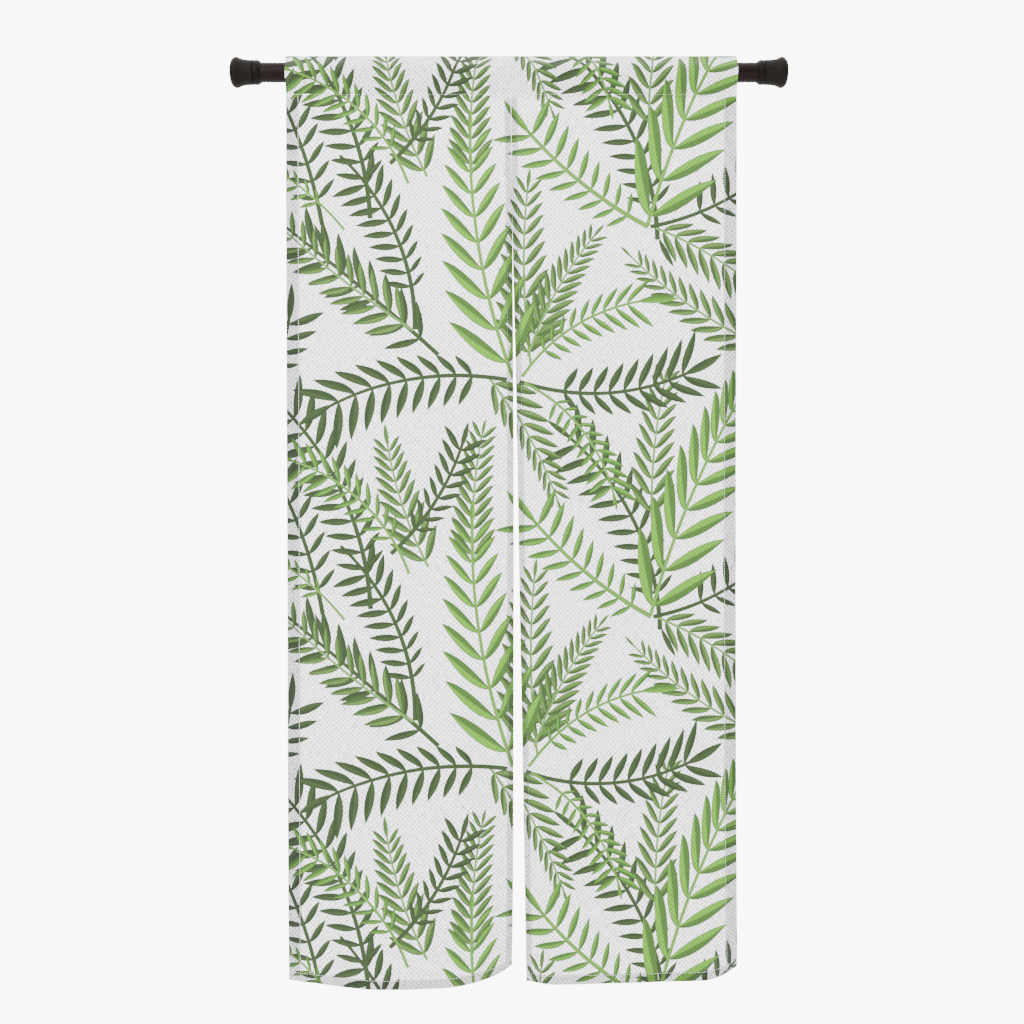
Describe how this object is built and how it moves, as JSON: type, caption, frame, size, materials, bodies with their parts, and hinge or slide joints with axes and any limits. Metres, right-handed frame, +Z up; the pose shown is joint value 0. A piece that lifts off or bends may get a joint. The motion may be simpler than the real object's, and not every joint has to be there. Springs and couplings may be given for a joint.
{
  "type": "noren curtain on a rod",
  "caption": "Split doorway curtain of printed cloth hanging in soft folds from a round rod with flared end feet.",
  "frame": {"origin": "middle of the rod, on its axis", "axes": "X along the rod to the viewer's right, Y away from the viewer, +Z up"},
  "size_m": [1.067, 0.1007, 1.7821],
  "materials": {
    "cloth": "off-white slubby cotton-linen with a green leaf print",
    "rod": "satin dark brown",
    "collar": "satin dark brown",
    "foot": "soft near-black"
  },
  "bodies": {
    "root": {"panel_left": "cloth", "panel_right": "cloth", "rod": "rod", "collar_left": "collar", "collar_right": "collar", "foot_left": "foot", "foot_right": "foot"}
  },
  "joints": []
}
